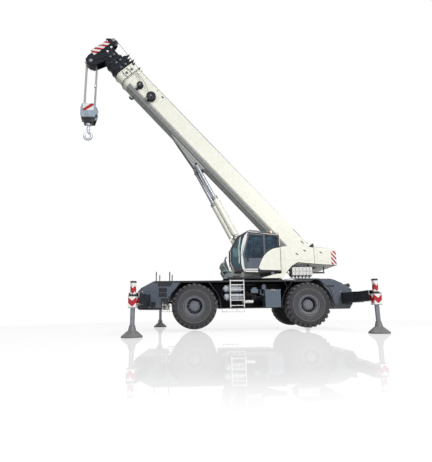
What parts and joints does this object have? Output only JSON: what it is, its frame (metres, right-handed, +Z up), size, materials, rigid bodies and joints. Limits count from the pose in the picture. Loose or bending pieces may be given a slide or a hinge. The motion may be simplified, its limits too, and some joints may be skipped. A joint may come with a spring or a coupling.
{
  "type": "mobile crane",
  "caption": "Two-axle mobile crane on extended outriggers, with a raised telescopic boom, twin lift cylinders, an offset cab and a hanging hook block.",
  "frame": {"origin": "under the middle of the whole crane, on the ground that the floats stand on", "axes": "+X forward over the front outriggers, +Y to the crane's left (the cab's side), +Z up"},
  "size_m": [11.5584, 8.16, 13.8694],
  "materials": {
    "carrier_paint": "satin",
    "skirt_paint": "satin",
    "chassis_paint": "satin",
    "cream_paint": "semi-gloss",
    "boom_dark": "satin",
    "hook_paint": "satin",
    "hook_steel": "satin",
    "rim_paint": "satin",
    "tyre": "matt",
    "rod_chrome": "polished",
    "jack_paint": "satin",
    "beam_paint": "satin",
    "sheave_steel": "machined",
    "rope_steel": "greased",
    "ring_steel": "machined",
    "engine_iron": "rough",
    "tank_paint": "satin",
    "box_paint": "satin",
    "ladder_paint": "satin",
    "glass": "tinted",
    "seat_fabric": "woven",
    "reel_paint": "satin"
  },
  "bodies": {
    "carrier": {"chassis_frame": "chassis_paint", "deck": "carrier_paint", "rear_fenders": "carrier_paint", "front_body": "carrier_paint", "rear_body": "carrier_paint", "engine_block": "engine_iron", "side_bays": "skirt_paint", "ladders": "ladder_paint", "air_tanks": "tank_paint", "bay_boxes": "box_paint", "slew_ring": "ring_steel", "front_axle": "chassis_paint", "rear_axle": "chassis_paint"},
    "turret": {"turret_frame": "chassis_paint", "side_covers": "cream_paint", "hydraulic_tank": "cream_paint", "counterweight": "cream_paint", "main_winch": "sheave_steel", "cab_shell": "cream_paint", "cab_glass": "glass", "cab_seat": "seat_fabric"},
    "door": {"cab_door": "carrier_paint", "door_glass": "glass"},
    "boom": {"boom_base": "cream_paint", "cable_reels": "reel_paint"},
    "section_1": {"boom_section_1": "cream_paint"},
    "section_2": {"boom_section_2": "boom_dark"},
    "section_3": {"boom_section_3": "boom_dark"},
    "section_4": {"boom_section_4": "boom_dark", "head_sheaves": "sheave_steel"},
    "hang": {"hoist_ropes": "rope_steel", "hook_block": "hook_paint", "block_sheaves": "sheave_steel"},
    "hook": {"hook": "hook_steel"},
    "barrels": {"lift_barrels": "cream_paint"},
    "rods": {"lift_rods": "rod_chrome"},
    "knuckle_front_left": {"knuckle_front_left": "chassis_paint"},
    "wheel_front_left": {"tyre_front_left": "tyre", "rim_front_left": "rim_paint"},
    "knuckle_front_right": {"knuckle_front_right": "chassis_paint"},
    "wheel_front_right": {"tyre_front_right": "tyre", "rim_front_right": "rim_paint"},
    "knuckle_rear_left": {"knuckle_rear_left": "chassis_paint"},
    "wheel_rear_left": {"tyre_rear_left": "tyre", "rim_rear_left": "rim_paint"},
    "knuckle_rear_right": {"knuckle_rear_right": "chassis_paint"},
    "wheel_rear_right": {"tyre_rear_right": "tyre", "rim_rear_right": "rim_paint"},
    "beam_first_front_left": {"beam_first_front_left": "beam_paint"},
    "beam_second_front_left": {"beam_second_front_left": "jack_paint"},
    "jack_front_left": {"jack_front_left": "rod_chrome"},
    "beam_first_front_right": {"beam_first_front_right": "beam_paint"},
    "beam_second_front_right": {"beam_second_front_right": "jack_paint"},
    "jack_front_right": {"jack_front_right": "rod_chrome"},
    "beam_first_rear_left": {"beam_first_rear_left": "beam_paint"},
    "beam_second_rear_left": {"beam_second_rear_left": "jack_paint"},
    "jack_rear_left": {"jack_rear_left": "rod_chrome"},
    "beam_first_rear_right": {"beam_first_rear_right": "beam_paint"},
    "beam_second_rear_right": {"beam_second_rear_right": "jack_paint"},
    "jack_rear_right": {"jack_rear_right": "rod_chrome"}
  },
  "joints": [
    {"name": "slew", "type": "hinge", "parent": "carrier", "child": "turret", "pos_m": [-1.71, 0, 1.95], "axis": [0, 0, 1], "continuous": true},
    {"name": "luff", "type": "hinge", "parent": "turret", "child": "boom", "pos_m": [-4.26, 0, 3.05], "axis": [0, -1, 0], "range_deg": [-48, 30]},
    {"name": "door_slide", "type": "slide", "parent": "turret", "child": "door", "axis": [-1, 0, 0], "range_m": [0, 0.56]},
    {"name": "lift_tilt", "type": "hinge", "parent": "turret", "child": "barrels", "pos_m": [-2.13, 0, 2.2], "axis": [0, -1, 0], "range_deg": [-53, 33.2]},
    {"name": "lift_slide", "type": "slide", "parent": "barrels", "child": "rods", "axis": [0.4572, 0, 0.8894], "range_m": [-1.53, 0.96]},
    {"name": "telescope_1", "type": "slide", "parent": "boom", "child": "section_1", "axis": [0.6691, 0, 0.7431], "range_m": [0, 7.8]},
    {"name": "telescope_2", "type": "slide", "parent": "section_1", "child": "section_2", "axis": [0.6691, 0, 0.7431], "range_m": [0, 7.8]},
    {"name": "telescope_3", "type": "slide", "parent": "section_2", "child": "section_3", "axis": [0.6691, 0, 0.7431], "range_m": [0, 7.8]},
    {"name": "telescope_4", "type": "slide", "parent": "section_3", "child": "section_4", "axis": [0.6691, 0, 0.7431], "range_m": [0, 7.8]},
    {"name": "hook_hang", "type": "hinge", "parent": "section_4", "child": "hang", "pos_m": [5.4094, 0, 12.5635], "axis": [0, 1, 0], "range_deg": [-48, 30]},
    {"name": "hook_swivel", "type": "hinge", "parent": "hang", "child": "hook", "pos_m": [5.4094, 0, 9.3], "axis": [0, 0, 1], "continuous": true},
    {"name": "steer_front_left", "type": "hinge", "parent": "carrier", "child": "knuckle_front_left", "pos_m": [0.505, 1.12, 0.97], "axis": [0, 0, 1], "range_deg": [-28, 28]},
    {"name": "roll_front_left", "type": "hinge", "parent": "knuckle_front_left", "child": "wheel_front_left", "pos_m": [0.505, 1.25, 0.97], "axis": [0, 1, 0], "continuous": true},
    {"name": "steer_front_right", "type": "hinge", "parent": "carrier", "child": "knuckle_front_right", "pos_m": [0.505, -1.12, 0.97], "axis": [0, 0, 1], "range_deg": [-28, 28]},
    {"name": "roll_front_right", "type": "hinge", "parent": "knuckle_front_right", "child": "wheel_front_right", "pos_m": [0.505, -1.25, 0.97], "axis": [0, 1, 0], "continuous": true},
    {"name": "steer_rear_left", "type": "hinge", "parent": "carrier", "child": "knuckle_rear_left", "pos_m": [-3.925, 1.12, 0.97], "axis": [0, 0, 1], "range_deg": [-28, 28]},
    {"name": "roll_rear_left", "type": "hinge", "parent": "knuckle_rear_left", "child": "wheel_rear_left", "pos_m": [-3.925, 1.25, 0.97], "axis": [0, 1, 0], "continuous": true},
    {"name": "steer_rear_right", "type": "hinge", "parent": "carrier", "child": "knuckle_rear_right", "pos_m": [-3.925, -1.12, 0.97], "axis": [0, 0, 1], "range_deg": [-28, 28]},
    {"name": "roll_rear_right", "type": "hinge", "parent": "knuckle_rear_right", "child": "wheel_rear_right", "pos_m": [-3.925, -1.25, 0.97], "axis": [0, 1, 0], "continuous": true},
    {"name": "extend_first_front_left", "type": "slide", "parent": "carrier", "child": "beam_first_front_left", "axis": [0, 1, 0], "range_m": [-1.07, 0]},
    {"name": "extend_second_front_left", "type": "slide", "parent": "beam_first_front_left", "child": "beam_second_front_left", "axis": [0, 1, 0], "range_m": [-1.07, 0]},
    {"name": "jack_front_left", "type": "slide", "parent": "beam_second_front_left", "child": "jack_front_left", "axis": [0, 0, -1], "range_m": [-0.5, 0.15]},
    {"name": "extend_first_front_right", "type": "slide", "parent": "carrier", "child": "beam_first_front_right", "axis": [0, -1, 0], "range_m": [-1.07, 0]},
    {"name": "extend_second_front_right", "type": "slide", "parent": "beam_first_front_right", "child": "beam_second_front_right", "axis": [0, -1, 0], "range_m": [-1.07, 0]},
    {"name": "jack_front_right", "type": "slide", "parent": "beam_second_front_right", "child": "jack_front_right", "axis": [0, 0, -1], "range_m": [-0.5, 0.15]},
    {"name": "extend_first_rear_left", "type": "slide", "parent": "carrier", "child": "beam_first_rear_left", "axis": [0, 1, 0], "range_m": [-1.07, 0]},
    {"name": "extend_second_rear_left", "type": "slide", "parent": "beam_first_rear_left", "child": "beam_second_rear_left", "axis": [0, 1, 0], "range_m": [-1.07, 0]},
    {"name": "jack_rear_left", "type": "slide", "parent": "beam_second_rear_left", "child": "jack_rear_left", "axis": [0, 0, -1], "range_m": [-0.5, 0.15]},
    {"name": "extend_first_rear_right", "type": "slide", "parent": "carrier", "child": "beam_first_rear_right", "axis": [0, -1, 0], "range_m": [-1.07, 0]},
    {"name": "extend_second_rear_right", "type": "slide", "parent": "beam_first_rear_right", "child": "beam_second_rear_right", "axis": [0, -1, 0], "range_m": [-1.07, 0]},
    {"name": "jack_rear_right", "type": "slide", "parent": "beam_second_rear_right", "child": "jack_rear_right", "axis": [0, 0, -1], "range_m": [-0.5, 0.15]}
  ],
  "couplings": [
    {"joint": "lift_tilt", "follows": "luff", "ratio": 1.1},
    {"joint": "lift_slide", "follows": "luff", "m_per_rad": 1.82},
    {"joint": "telescope_2", "follows": "telescope_1", "ratio": 1},
    {"joint": "telescope_3", "follows": "telescope_1", "ratio": 1},
    {"joint": "telescope_4", "follows": "telescope_1", "ratio": 1},
    {"joint": "hook_hang", "follows": "luff", "ratio": 1},
    {"joint": "steer_front_right", "follows": "steer_front_left", "ratio": 1},
    {"joint": "steer_rear_right", "follows": "steer_rear_left", "ratio": 1},
    {"joint": "extend_second_front_left", "follows": "extend_first_front_left", "ratio": 1},
    {"joint": "extend_second_front_right", "follows": "extend_first_front_right", "ratio": 1},
    {"joint": "extend_second_rear_left", "follows": "extend_first_rear_left", "ratio": 1},
    {"joint": "extend_second_rear_right", "follows": "extend_first_rear_right", "ratio": 1}
  ]
}
